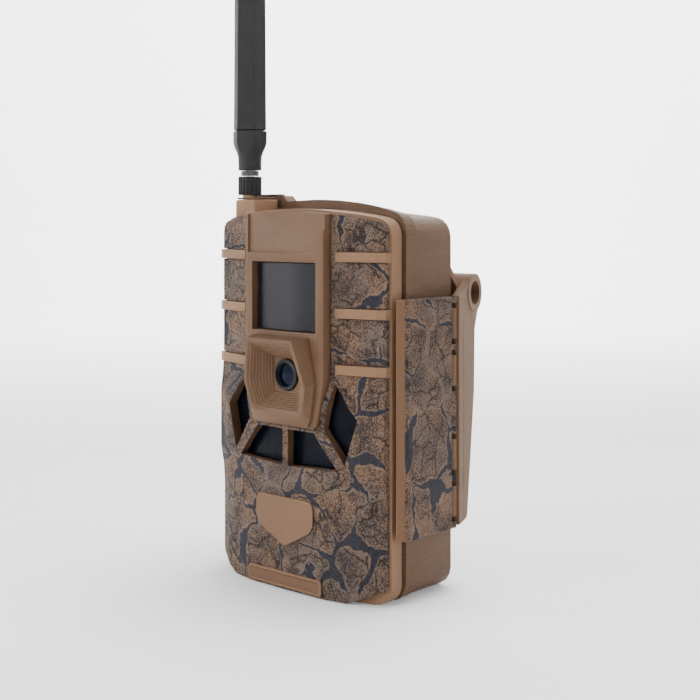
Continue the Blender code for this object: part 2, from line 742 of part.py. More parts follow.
def battery_pack():
    """Tray, eight cells and three contact plates."""
    tray = box("battery_tray", (-33.0, 17.0, 15.0), (33.0, 36.0, 128.5))
    cut(tray, box("tray_pocket", (-31.2, 10.0, 17.0), (31.2, 34.2, 126.5)))
    finish(tray, GREY)
    found = [tray]
    top = CELL_LENGTH / 2
    profile = [(0, top), (2.7, top), (2.7, top - 1.2), (CELL_RADIUS - 0.6, top - 1.4),
               (CELL_RADIUS, top - 2.0), (CELL_RADIUS, -top + 0.5), (CELL_RADIUS - 0.5, -top), (0, -top)]
    number = 0
    for low in ROW_LOW:
        for column in range(4):
            number += 1
            x = (column - 1.5) * CELL_PITCH
            cell = turned("battery_cell_%d" % number, profile, (x, CELL_Y, low + top), steps=14)
            if number % 2:
                cell.rotation_euler = (math.pi, 0.0, 0.0)
            found.append(finish(cell, CELL))
    for name, z in (("contact_plate_low", 18.2), ("contact_plate_middle", 71.3), ("contact_plate_high", 124.8)):
        sheet = box(name, (-30.0, 18.6, z), (30.0, 33.4, z + 0.8))
        found.append(finish(sheet, STEEL))
    return found


# ---------------------------------------------------------------- tree bracket

def wing(side):
    """One side wing with its cable eye, before it joins the back plate."""
    slope = 1 / math.cos(WING_ANGLE)
    eye_s = (EYE[1] - WING_FRONT[1]) * slope
    eye_z = EYE[2]
    reach = EYE_RADIUS - 0.9
    arc = []
    for k in range(9):
        angle = math.radians(-20 + 140 * k / 8)
        arc.append((eye_s + reach * math.cos(angle), eye_z + reach * math.sin(angle)))
    outline = [(0.0, LATCH_LOW + 0.8), (8.4, LATCH_LOW + 2.0), (9.4, LATCH_LOW + 3.4), (17.6, 78.0), (18.4, 104.0)]
    outline += arc + [(0.0, LATCH_HIGH)]
    blade = plate("wing_blade", outline, -WING_THICKNESS, 0.0, "X")
    blade.matrix_world = (Matrix.Translation(mm(side * WING_FRONT[0], WING_FRONT[1], 0.0))
                          @ Matrix.Diagonal((side, 1.0, 1.0, 1.0))
                          @ Matrix.Rotation(WING_ANGLE, 4, "Z") @ blade.matrix_world)
    flatten(blade)
    return blade


def flatten(obj):
    """Write an object's place into its mesh and point its faces outwards."""
    obj.data.transform(obj.matrix_world)
    obj.matrix_world = Matrix.Identity(4)
    work = bmesh.new()
    work.from_mesh(obj.data)
    bmesh.ops.recalc_face_normals(work, faces=work.faces)
    work.to_mesh(obj.data)
    work.free()


def outside_wing(side):
    """Block that trims the eye just proud of the wing's slanted face."""
    block = box("eye_trim", (EYE_PROUD, -30.0, 60.0), (30.0, 40.0, 150.0))
    block.matrix_world = (Matrix.Translation(mm(side * WING_FRONT[0], WING_FRONT[1], 0.0))
                          @ Matrix.Diagonal((side, 1.0, 1.0, 1.0))
                          @ Matrix.Rotation(WING_ANGLE, 4, "Z") @ block.matrix_world)
    flatten(block)
    return block


def knuckle_spans(first):
    """Every second stretch between the hinge's ends, starting at first."""
    return list(zip(KNUCKLE_ENDS, KNUCKLE_ENDS[1:]))[first::2]


def latch_knuckles(holder, first, arm_front, arm_back, arm_outer):
    """The holder's share of the latch hinge, each barrel on an arm and all on one bore."""
    for low, high in knuckle_spans(first):
        low += KNUCKLE_NOTCH / 2 if low != LATCH_LOW else 0.2
        high -= KNUCKLE_NOTCH / 2 if high != LATCH_HIGH else 0.2
        arm = box("latch_arm", (LATCH_AXIS[0] - 1.0, arm_front, low), (arm_outer, arm_back, high))
        barrel = cylinder("latch_barrel", (*LATCH_AXIS, (low + high) / 2), KNUCKLE_RADIUS, high - low, sides=12)
        join(holder, arm, barrel)
    middle = (LATCH_LOW + LATCH_HIGH) / 2
    bore = cylinder("latch_bore", (*LATCH_AXIS, middle), LATCH_PIN_RADIUS + GAP, LATCH_HIGH - LATCH_LOW + 4.0, sides=12)
    cut(holder, bore)


def tree_bracket():
    """Back plate with strap slots, two wings and two cable eyes."""
    plan = rounded([(-46.6, 28.0, 4.0), (46.6, 28.0, 4.0), (46.6, 118.0, 3.0), (36.0, 134.0, 3.0),
                    (-36.0, 134.0, 3.0), (-46.6, 118.0, 3.0)], 3)
    bracket = plate("tree_bracket", plan, PLATE_FRONT, PLATE_BACK)
    for side in (-1, 1):
        join(bracket, wing(side))
        eye = cylinder("eye", (side * (WING_FRONT[0] - EYE_LENGTH / 2), EYE[1], EYE[2]), EYE_RADIUS,
                       EYE_LENGTH, "X", 24)
        join(bracket, eye)
    latch_knuckles(bracket, 1, LATCH_AXIS[1], WING_FRONT[1] + 1.2, LATCH_AXIS[0] + 0.6)
    join(bracket, box("hinge_backing", (HALF_WIDTH, LATCH_BACK, LATCH_LOW + 1.0), (48.1, 45.0, LATCH_HIGH - 1.2)))
    for side in (-1, 1):
        cut(bracket, outside_wing(side))
        cut(bracket, cylinder("eye_hole", (side * 46.0, EYE[1], EYE[2]), EYE_HOLE, 30.0, "X", 24))
        slot_low, slot_high = sorted((side * 23.0, side * 30.0))
        cut(bracket, box("strap_slot", (slot_low, 40.0, 52.0), (slot_high, 60.0, 106.0)))
    for x, z in BRACKET_SCREWS:
        post = cylinder("standoff", (x, (BACK + PLATE_FRONT) / 2 + 0.4, z), 4.2, PLATE_FRONT - BACK, "Y", 16)
        join(bracket, post)
        cut(bracket, cylinder("post_hole", (x, 47.0, z), 1.9, 20.0, "Y", 12))
    return finish(bracket, BROWN)


def bracket_fasteners():
    """Four screws through the bracket's posts and the latch's pin."""
    found = []
    profile = [(0, 2.0), (2.6, 2.0), (3.1, 1.4), (3.1, GAP), (1.5, GAP), (1.5, -10.6), (0, -10.6)]
    for number, (x, z) in enumerate(BRACKET_SCREWS, 1):
        screw = turned("bracket_screw_%d" % number, profile, (x, PLATE_BACK, z), steps=10)
        screw.rotation_euler = (-math.pi / 2, 0.0, 0.0)
        found.append(finish(screw, STEEL))
    middle = (LATCH_LOW + LATCH_HIGH) / 2
    pin = cylinder("latch_pin", (*LATCH_AXIS, middle), LATCH_PIN_RADIUS, LATCH_HIGH - LATCH_LOW - 0.6, sides=10)
    found.append(finish(pin, STEEL))
    low = DOOR_HINGES[0] - DOOR_HINGE_LENGTH / 2
    high = DOOR_HINGES[1] + DOOR_HINGE_LENGTH / 2
    rod = cylinder("door_pin", (*DOOR_AXIS, (low + high) / 2), DOOR_PIN_RADIUS, high - low + 1.0, sides=12)
    found.append(finish(rod, STEEL))
    return found


# ---------------------------------------------------------------- moving pieces

def pivot(name, at, *pieces):
    """An empty on a joint's axis that carries the moving pieces."""
    holder = bpy.data.objects.new(name, None)
    PARTS.objects.link(holder)
    holder.location = mm(*at)
    bpy.context.view_layer.update()
    for piece in pieces:
        piece.parent = holder
        piece.matrix_parent_inverse = holder.matrix_world.inverted()
    return holder


def latch():
    """Long side lever that closes the case."""
    plan = [(LATCH_X, 8.0), (LATCH_X, LATCH_BACK), (49.4, LATCH_BACK), (49.4, 8.8), (48.7, 7.2), (48.7, 4.2), (49.4, 3.7)]
    lever = plate("side_latch", plan, LATCH_LOW, LATCH_HIGH, "Z")
    soften(lever, 0.35, segments=1)
    latch_knuckles(lever, 0, LATCH_BACK - 0.6, LATCH_AXIS[1], LATCH_X - 0.2)
    return finish(lever, CAMO)


def antenna():
    """Hexagonal aerial: knurled collar, metal ring, blended foot and long sleeve."""
    collar = plate("antenna_collar", flutes(), COLLAR_LOW, COLLAR_HIGH, "Z")
    cut(collar, cylinder("collar_bore", (*ANTENNA, COLLAR_LOW + 2.0), 3.6, 10.0, sides=20))
    finish(collar, BLACK)
    ring_profile = [(3.9, 2.1), (3.9, 0), (2.0, 0), (2.0, 2.1), (3.9, 2.1)]
    ring = turned("antenna_ring", ring_profile, (*ANTENNA, COLLAR_HIGH + GAP), steps=20)
    finish(ring, STEEL)
    foot = antenna_foot()
    taper = [(JOINT + GAP, 0.97), (300.0, 0.9), (ANTENNA_TOP - 2.0, 0.86), (ANTENNA_TOP, 0.62)]
    sleeve = loft("antenna_sleeve", [hexagon(ANTENNA_SIDE * share, z) for z, share in taper])
    finish(sleeve, BLACK)
    return collar, ring, foot, sleeve


def hexagon(side, z, share=1.0):
    """Twelve points round the aerial's axis, from a circle (share 0) to a hexagon (share 1)."""
    points = []
    for k in range(24):
        angle = math.radians(15 * k)
        within = (angle % math.radians(60)) - math.radians(30)
        flat = side * math.cos(math.radians(30)) / math.cos(within)
        reach = side * 0.66 + (flat - side * 0.66) * share
        points.append((ANTENNA[0] + reach * math.cos(angle + math.radians(30)),
                       ANTENNA[1] + reach * math.sin(angle + math.radians(30)), z))
    return points


def antenna_foot():
    """Round neck that spreads into the hexagon under the joint line."""
    low = COLLAR_HIGH + 2 * GAP + 2.1
    steps = [(low, 0.0), (NECK_TOP - 1.0, 0.0)]
    for k in range(1, 6):
        share = k / 5
        steps.append((NECK_TOP - 1.0 + (SHOULDER - NECK_TOP + 1.0) * share, share * share * (3 - 2 * share)))
    steps.append((JOINT, 1.0))
    return finish(loft("antenna_foot", [hexagon(ANTENNA_SIDE, z, share) for z, share in steps]), BLACK)


def flutes():
    """Outline of the knurled collar."""
    outline = []
    for k in range(FLUTES * 2):
        angle = math.pi * k / FLUTES
        for offset, radius in ((-0.3, COLLAR_RADIUS), (0.3, COLLAR_RADIUS)):
            reach = radius if k % 2 == 0 else radius - 0.45
            turn = angle + offset * math.pi / FLUTES
            outline.append((ANTENNA[0] + reach * math.cos(turn), ANTENNA[1] + reach * math.sin(turn)))
    return outline


def connector():
    """Aerial socket and its gasket."""
    plan = [(-40.2, 8.4), (-40.2, 4.0), (-35.2, -0.6), (-24.2, -0.6), (-21.0, 2.6), (-21.0, 8.4)]
    gasket = plate("antenna_pad", plan, BOSS_TOP + GAP, PAD_TOP, "Z")
    cut(gasket, cylinder("pad_hole", (*ANTENNA, BOSS_TOP), 3.5, 8.0, sides=20))
    finish(gasket, BROWN)
    profile = [(2.2, 166.4), (3.1, 166.0), (3.1, 150.0), (1.2, 150.0), (1.2, 166.0), (2.2, 166.4)]
    socket = turned("aerial_socket", profile, (*ANTENNA, 0.0), steps=20)
    return gasket, finish(socket, BRASS)


def controls():
    """Power switch, menu buttons, memory card and the daylight filter slide."""
    knob = box("power_switch", (-2.6, 7.2, 56.5), (2.6, 10.4, 59.9))
    soften(knob, 0.3, segments=1)
    finish(knob, BLACK)
    buttons = []
    profile = [(0, 2.6), (2.4, 2.6), (2.9, 2.1), (2.9, 0), (0, 0)]
    for number, x in enumerate((-14.0, 0.0, 14.0), 1):
        button = turned("menu_button_%d" % number, profile, (x, 7.6, 76.0), steps=16)
        button.rotation_euler = (-math.pi / 2, 0.0, 0.0)
        buttons.append(finish(button, BLACK))
    card = plate("memory_card", [(-34.9, 22.4), (-11.1, 22.4), (-11.1, 48.2), (-31.9, 48.2), (-34.9, 45.2)], 8.2, 10.2)
    finish(card, BLACK)
    slide = box("daylight_filter", (-9.0, 0.3, LENS_Z - 4.5), (0.0, 0.9, LENS_Z + 4.5))
    finish(slide, GLASS)
    return knob, buttons, card, slide


# ---------------------------------------------------------------- assembly

def build():
    """Make every piece, hang the moving ones on their axes and move all to the world origin."""
    rear = [rear_case(), door_seal(), tripod_insert(), tree_bracket(), *battery_pack(), *bracket_fasteners()]
    gasket, socket = connector()
    front = [front_case(), camo_cover(), center_bezel(), motion_window(), *optics(), infrared_filter(), led_board(),
             *boards(), inner_panel(), *panel_parts(), badge(), name_plate(), gasket, socket]
    knob, buttons, card, slide = controls()
    collar, ring, foot, sleeve = antenna()

    camera = pivot("camera", (0, 0, 0), *rear)
    door = pivot("door_axis", (*DOOR_AXIS, 75.0), *front)
    door.parent = camera
    pivot("latch_axis", (*LATCH_AXIS, 72.0), latch()).parent = camera
    aerial = pivot("antenna_axis", (*ANTENNA, COLLAR_LOW), ring, foot, sleeve)
    aerial.parent = door
    aerial.matrix_parent_inverse = door.matrix_world.inverted()
    spin = pivot("collar_axis", (*ANTENNA, COLLAR_LOW), collar)
    spin.parent = aerial
    spin.matrix_parent_inverse = aerial.matrix_world.inverted()
    for piece in (knob, *buttons, card, slide):
        piece.parent = door
        piece.matrix_parent_inverse = door.matrix_world.inverted()
    for helper in CUTTERS.objects:
        helper.parent = camera
    camera.location = mm(0, -ORIGIN_Y, 0)


build()
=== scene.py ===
"""Looks of the trail camera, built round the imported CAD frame.

Pieces are given in millimetres, and metres() turns a point into the frame's metres. Such a point's Y is
counted from the front side edge of the case, 21 mm ahead of the frame's origin. Material coordinates are
the frame's own millimetres. The studio, its lamps and the camera are in metres.
"""

import json
import math

import bmesh
import bpy
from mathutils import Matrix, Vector

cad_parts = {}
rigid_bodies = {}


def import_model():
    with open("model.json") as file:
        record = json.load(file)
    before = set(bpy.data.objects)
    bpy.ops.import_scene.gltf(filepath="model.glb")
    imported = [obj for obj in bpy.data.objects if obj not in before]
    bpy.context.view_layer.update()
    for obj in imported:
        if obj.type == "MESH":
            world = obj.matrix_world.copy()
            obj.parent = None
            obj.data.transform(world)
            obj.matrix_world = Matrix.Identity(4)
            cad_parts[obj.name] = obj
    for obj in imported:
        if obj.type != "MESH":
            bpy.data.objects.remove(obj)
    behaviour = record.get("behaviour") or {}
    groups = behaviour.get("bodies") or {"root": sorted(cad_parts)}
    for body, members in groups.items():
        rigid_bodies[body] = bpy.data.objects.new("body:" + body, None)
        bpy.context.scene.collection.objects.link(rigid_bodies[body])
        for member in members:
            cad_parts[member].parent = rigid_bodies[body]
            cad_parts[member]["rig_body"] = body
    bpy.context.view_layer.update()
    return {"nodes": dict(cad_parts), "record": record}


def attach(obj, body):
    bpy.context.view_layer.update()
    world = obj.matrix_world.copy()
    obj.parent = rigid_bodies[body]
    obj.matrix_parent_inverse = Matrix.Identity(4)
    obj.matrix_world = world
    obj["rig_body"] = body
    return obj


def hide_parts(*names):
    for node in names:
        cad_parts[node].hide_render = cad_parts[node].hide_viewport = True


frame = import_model()

MM = 0.001
ORIGIN_Y = 21.0


def metres(x, y, z):
    """A point in the frame's metres from millimetres counted from the case's front side edge."""
    return Vector((x * MM, (y - ORIGIN_Y) * MM, z * MM))


# ---------------------------------------------------------------- material graphs

def shade(colour, factor):
    return tuple(channel * factor for channel in colour)


class Graph:
    """A material's node tree, with short ways to add nodes and mix colours."""

    def __init__(self, name):
        self.material = bpy.data.materials.new(name)
        self.material.use_nodes = True
        self.tree = self.material.node_tree
        self.shader = self.tree.nodes["Principled BSDF"]
        coordinates = self.tree.nodes.new("ShaderNodeTexCoord")
        self.place = self.vector("SCALE", coordinates.outputs["Object"], scale=1.0 / MM)

    def set(self, socket, value):
        """Link value to the socket if it is a socket itself, or else make it the socket's own value."""
        if isinstance(value, bpy.types.NodeSocket):
            self.tree.links.new(value, socket)
        elif socket.type == "RGBA":
            socket.default_value = (*value, 1.0)
        else:
            socket.default_value = value

    def math(self, operation, a, b=0.0, c=None):
        made = self.tree.nodes.new("ShaderNodeMath")
        made.operation = operation
        self.set(made.inputs[0], a)
        self.set(made.inputs[1], b)
        if c is not None:
            self.set(made.inputs[2], c)
        return made.outputs[0]

    def plus(self, a, b):
        return self.math("ADD", a, b)

    def minus(self, a, b):
        return self.math("SUBTRACT", a, b)

    def times(self, a, b):
        return self.math("MULTIPLY", a, b)

    def distance(self, value, middle):
        return self.math("ABSOLUTE", self.minus(value, middle))

    def vector(self, operation, a, b=None, scale=None):
        made = self.tree.nodes.new("ShaderNodeVectorMath")
        made.operation = operation
        self.set(made.inputs[0], a)
        if b is not None:
            self.set(made.inputs[1], b)
        if scale is not None:
            made.inputs["Scale"].default_value = scale
        return made.outputs[0]

    def axes(self):
        """The x, y and z coordinates on their own."""
        made = self.tree.nodes.new("ShaderNodeSeparateXYZ")
        self.set(made.inputs[0], self.place)
        return list(made.outputs)

    def stretched(self, x, y, z):
        """Coordinates squeezed or stretched along each axis."""
        return self.vector("MULTIPLY", self.place, (x, y, z))

    def away(self, x, y, z):
        """Coordinates moved aside, so that one more noise doesn't follow the others."""
        return self.vector("ADD", self.place, (x, y, z))

    def noise(self, scale, detail=2.0, roughness=0.5, at=None, colour=False):
        made = self.tree.nodes.new("ShaderNodeTexNoise")
        self.set(made.inputs["Vector"], self.place if at is None else at)
        made.inputs["Scale"].default_value = scale
        made.inputs["Detail"].default_value = detail
        made.inputs["Roughness"].default_value = roughness
        return made.outputs["Color" if colour else "Fac"]

    def edges(self, size, at):
        """Distance in millimetres to the nearest border between cells of that size."""
        made = self.tree.nodes.new("ShaderNodeTexVoronoi")
        made.feature = "DISTANCE_TO_EDGE"
        self.set(made.inputs["Vector"], at)
        made.inputs["Scale"].default_value = 1.0 / size
        return self.times(made.outputs["Distance"], size)

    def ramp(self, value, low, high, to_low=0.0, to_high=1.0):
        """value from low to high becomes to_low to to_high, and stays there outside."""
        made = self.tree.nodes.new("ShaderNodeMapRange")
        self.set(made.inputs["Value"], value)
        made.inputs["From Min"].default_value = low
        made.inputs["From Max"].default_value = high
        made.inputs["To Min"].default_value = to_low
        made.inputs["To Max"].default_value = to_high
        return made.outputs["Result"]

    def mix(self, share, a, b):
        made = self.tree.nodes.new("ShaderNodeMix")
        made.data_type = "RGBA"
        self.set(made.inputs["Factor"], share)
        self.set(made.inputs["A"], a)
        self.set(made.inputs["B"], b)
        return made.outputs["Result"]

    def grained(self, fine, tone, colour):
        """The tone, darker where the fine noise is high."""
        return self.mix(self.ramp(fine, 0.35, 0.75, 0.0, 0.30), tone, shade(colour, 0.72))

    def bump(self, height, depth, strength=1.0):
        """Relief whose height of one stands for that depth in millimetres."""
        made = self.tree.nodes.new("ShaderNodeBump")
        made.inputs["Strength"].default_value = strength
        made.inputs["Distance"].default_value = depth * MM
        self.set(made.inputs["Height"], height)
        self.tree.links.new(made.outputs["Normal"], self.shader.inputs["Normal"])

    def paint(self, colour, roughness, metallic=0.0, specular=0.5):
        self.set(self.shader.inputs["Base Color"], colour)
        self.set(self.shader.inputs["Roughness"], roughness)
        self.shader.inputs["Metallic"].default_value = metallic
        self.shader.inputs["Specular IOR Level"].default_value = specular
        return self.material


# ---------------------------------------------------------------- plastics

BROWN = (0.170, 0.094, 0.053)
PLASTIC_SPECULAR = 0.16

GROOVE_Y = 23.2                  # groove in the outer side of the bracket's wings
GROOVE_HALF_WIDTH = 0.75
GROOVE_MIDDLE = 73.0
GROOVE_REACH = 35.0
WING_OUTER_SIDE = 49.0
FIELD_HALF = 19.4                # name plate's sunken field
FIELD_MIDDLE = 4.4
FIELD_REACH = 2.1
FIELD_SLOPE = 0.35


def moulded(name, colour, grain=0.06, streaks=0.0, specular=PLASTIC_SPECULAR):
    """Matte moulded plastic: faint clouds, fine grain and, if asked, long streaks along the depth."""
    g = Graph(name)
    clouds = g.noise(0.035, 3.0)
    fine = g.noise(1.7, 3.0, 0.65)
    pits = g.noise(3.2, 2.0, 0.6)
    tone = g.mix(g.ramp(clouds, 0.3, 0.7), shade(colour, 0.93), shade(colour, 1.07))
    tone = g.grained(fine, tone, colour)
    height = g.math("MULTIPLY_ADD", fine, 0.6, g.times(pits, 0.5))
    if streaks:
        long_grain = g.noise(0.55, 4.0, 0.6, at=g.stretched(0.25, 0.25, 2.6))
        tone = g.mix(g.ramp(long_grain, 0.45, 0.72, 0.0, streaks), tone, shade(colour, 0.62))
        height = g.plus(height, g.times(long_grain, 0.8))
    g.bump(height, grain, 0.8)
    return g.paint(tone, g.ramp(fine, 0.3, 0.7, 0.46, 0.60), specular=specular)


def wing_groove(g):
    """One in the long shallow groove on each outer side of the bracket, zero elsewhere."""
    x, y, z = g.axes()
    across = g.ramp(g.distance(y, GROOVE_Y), GROOVE_HALF_WIDTH, GROOVE_HALF_WIDTH - 0.35)
    along = g.ramp(g.distance(z, GROOVE_MIDDLE), GROOVE_REACH, GROOVE_REACH - 0.6)
    outside = g.ramp(g.math("ABSOLUTE", x), WING_OUTER_SIDE, WING_OUTER_SIDE + 0.6)
    return g.times(g.times(across, along), outside)


def plate_field(g):
    """One in the name plate's blank sunken field, zero on its rim."""
    axes = g.axes()
    sideways = g.ramp(g.math("ABSOLUTE", axes[0]), FIELD_HALF, FIELD_HALF - FIELD_SLOPE)
    upright = g.ramp(g.distance(axes[2], FIELD_MIDDLE), FIELD_REACH, FIELD_REACH - FIELD_SLOPE)
    return g.times(sideways, upright)


def sunken(name, colour, recess, share, recess_shade):
    """Moulded plastic, lower where recess(graph) is one, and darker there with painted shade."""
    g = Graph(name)
    fine = g.noise(1.7, 3.0, 0.65)
    low = recess(g)
    tone = g.grained(fine, colour, colour)
    # Painted shade in the recess.
    tone = g.mix(g.times(low, share), tone, shade(colour, recess_shade))
    g.bump(g.minus(g.times(fine, 0.12), low), 0.5)
    return g.paint(tone, g.ramp(fine, 0.3, 0.7, 0.50, 0.62), specular=PLASTIC_SPECULAR)


# ---------------------------------------------------------------- printed bark

TAN = (0.150, 0.090, 0.057)
GREY_TAN = (0.098, 0.074, 0.062)
SPECKLE = (0.014, 0.011, 0.011)
SLATE = (0.017, 0.0165, 0.021)
PALE_LINE = (0.21, 0.155, 0.118)
BARK_CELL = 22.0
SMALL_BARK_CELL = 8.5
SWAY = 13.0                      # how far slow waves bend the cells' borders
JITTER = 2.6                     # how far quick waves roughen them
LATCH_STRIP_BACK = -14.3         # the latch is plain brown in front of this
STRIP_BLUR = 0.15


def wavy_place(g):
    """Coordinates that sway and jitter, so that no border between cells runs straight."""
    middle = (0.5, 0.5, 0.5)
    sway = g.vector("SUBTRACT", g.noise(0.055, 2.0, colour=True), middle)
    jitter = g.vector("SUBTRACT", g.noise(0.42, 3.0, 0.6, colour=True), middle)
    bent = g.vector("ADD", g.place, g.vector("SCALE", sway, scale=SWAY))
    return g.vector("ADD", bent, g.vector("SCALE", jitter, scale=JITTER))


def cracks(g, wavy):
    """Cracks of uneven width between large cells, and the pale rim along them."""
    width = g.ramp(g.noise(0.05, 1.0, at=g.away(31.0, 7.0, 53.0)), 0.40, 0.66, 0.05, 1.55)
    inside = g.minus(width, g.edges(BARK_CELL, wavy))
    crack = g.ramp(inside, -0.10, 0.16)
    rim = g.times(g.ramp(inside, -0.75, -0.30), g.minus(1.0, crack))
    return crack, rim


def hairlines(g, wavy):
    """Thin lines between small cells, in some regions only."""
    near = g.edges(SMALL_BARK_CELL, g.vector("ADD", wavy, (11.0, 3.0, 19.0)))
    region = g.ramp(g.noise(0.075, 1.0, at=g.away(5.0, 61.0, 17.0)), 0.38, 0.46)
    return g.times(g.ramp(near, 0.34, 0.12), region)


def speckle(g, dots):
    """Dark specks, denser in patches, and the slate smoke over the densest patches."""
    patches = g.noise(0.11, 3.0, 0.6, at=g.away(47.0, 13.0, 29.0))
    threshold = g.ramp(patches, 0.32, 0.66, 0.535, 0.43)
    specks = g.ramp(g.minus(dots, threshold), -0.01, 0.06)
    smoke = g.times(g.ramp(patches, 0.56, 0.70), g.ramp(dots, 0.36, 0.56))
    return specks, smoke


def bark(name, plain_strip=False):
    """Printed bark: tan cells with dense dark speckle, slate cracks and hairlines between them."""
    g = Graph(name)
    wavy = wavy_place(g)
    crack, rim = cracks(g, wavy)
    hairline = hairlines(g, wavy)
    dots = g.noise(1.5, 3.0, 0.75)
    specks, smoke = speckle(g, dots)
    tone = g.mix(g.ramp(g.noise(0.045, 2.0), 0.40, 0.62), TAN, GREY_TAN)
    tone = g.mix(g.ramp(g.noise(0.7, 2.0), 0.3, 0.75, 0.0, 0.35), tone, shade(TAN, 1.35))
    tone = g.mix(g.times(specks, 0.80), tone, SPECKLE)
    tone = g.mix(g.times(smoke, 0.75), tone, SLATE)
    tone = g.mix(g.times(hairline, 0.9), tone, SPECKLE)
    tone = g.mix(g.times(rim, g.ramp(dots, 0.40, 0.55, 0.05, 0.45)), tone, PALE_LINE)
    tone = g.mix(crack, tone, g.mix(g.ramp(g.noise(0.9, 2.0), 0.35, 0.7), SLATE, shade(SLATE, 1.7)))
    relief = g.minus(g.times(g.minus(1.0, specks), 0.35), crack)
    relief = g.minus(relief, g.times(hairline, 0.6))
    if plain_strip:
        strip = g.ramp(g.axes()[1], LATCH_STRIP_BACK + STRIP_BLUR, LATCH_STRIP_BACK - STRIP_BLUR)
        tone = g.mix(strip, tone, shade(BROWN, 0.78))
        relief = g.times(relief, g.minus(1.0, strip))
    g.bump(relief, 0.22)
    return g.paint(tone, g.ramp(dots, 0.3, 0.7, 0.58, 0.72), specular=0.12)


# ---------------------------------------------------------------- windows, metals, boards and cells

HIGHLIGHT_BAND_MIDDLE = 2.5                  # middle of the film's painted highlight band
HIGHLIGHT_BAND_REACH = 11.0
ROW_FOOT = 19.0                  # just under the lower row of cells
HALF_ROW_PITCH = 26.8            # half the distance from one row's foot to the next one's
WRAP_DARK_END = 13.0


def glossy(name, colour, roughness, smears=0.03, specular=0.5):
    """Smooth dark plastic or glass cover with faint smears."""
    g = Graph(name)
    smear = g.noise(0.12, 3.0, 0.6)
    tone = g.mix(g.ramp(smear, 0.3, 0.7), shade(colour, 0.8), shade(colour, 1.25))
    g.bump(g.noise(0.8, 2.0), smears, 0.3)
    return g.paint(tone, g.ramp(smear, 0.3, 0.7, roughness, roughness * 1.7), specular=specular)


def sensor_film(name):
    """Dark ribbed film of the motion sensor's window, with a painted highlight in a soft vertical band."""
    g = Graph(name)
    axes = g.axes()
    ripple = g.noise(0.5, 2.0, at=g.stretched(1.0, 1.0, 0.04))
    mist = g.noise(0.05, 2.0)
    tone = g.mix(g.ramp(mist, 0.3, 0.7), (0.004, 0.0045, 0.0075), (0.006, 0.0058, 0.0085))
    # Painted highlight: lighter towards the band's middle, darker towards the sides.
    painted_highlight = g.ramp(g.distance(axes[0], HIGHLIGHT_BAND_MIDDLE), HIGHLIGHT_BAND_REACH, 0.0, 0.0, 0.85)
    tone = g.mix(painted_highlight, tone, (0.021, 0.020, 0.025))
    rows = g.math("SINE", g.times(axes[2], 5.2))
    g.bump(g.plus(g.times(ripple, 0.7), g.times(rows, 0.05)), 0.05, 0.5)
    return g.paint(tone, g.ramp(ripple, 0.3, 0.7, 0.34, 0.42), specular=0.20)


def metal(name, colour, roughness):
    """Metal with fine brushing and small scratches."""
    g = Graph(name)
    lines = g.noise(2.2, 3.0, 0.7, at=g.stretched(1.0, 1.0, 0.08))
    marks = g.noise(0.35, 4.0, 0.7)
    tone = g.mix(g.ramp(marks, 0.35, 0.75), colour, shade(colour, 0.7))
    g.bump(lines, 0.03, 0.6)
    return g.paint(tone, g.ramp(lines, 0.3, 0.7, roughness * 0.8, roughness * 1.3), metallic=1.0)


def circuit(name):
    """Green board with lighter tracks and tinned pads."""
    g = Graph(name)
    flat = g.stretched(1.0, 0.2, 1.0)
    tracks = g.ramp(g.edges(3.6, flat), 0.35, 0.20)
    pads = g.ramp(g.edges(1.7, flat), 0.66, 0.72)
    tone = g.mix(tracks, (0.012, 0.085, 0.030), (0.05, 0.19, 0.07))
    tone = g.mix(pads, tone, (0.42, 0.42, 0.38))
    g.bump(tracks, 0.05, 0.6)
    return g.paint(tone, g.ramp(g.noise(0.6), 0.3, 0.7, 0.25, 0.4))


def wrapped(name):
    """Battery wrap: dark at both ends and copper-coloured between them."""
    g = Graph(name)
    fine = g.noise(0.9, 3.0)
    from_end = g.math("PINGPONG", g.minus(g.axes()[2], ROW_FOOT), HALF_ROW_PITCH)
    coppery = g.ramp(from_end, WRAP_DARK_END, WRAP_DARK_END + 0.4)
    tone = g.mix(coppery, (0.03, 0.031, 0.034), (0.36, 0.17, 0.07))
    tone = g.mix(g.ramp(fine, 0.4, 0.7, 0.0, 0.3), tone, (0.02, 0.02, 0.02))
    g.bump(fine, 0.02, 0.4)
    return g.paint(tone, g.ramp(fine, 0.3, 0.7, 0.25, 0.36))


# ---------------------------------------------------------------- which look goes where

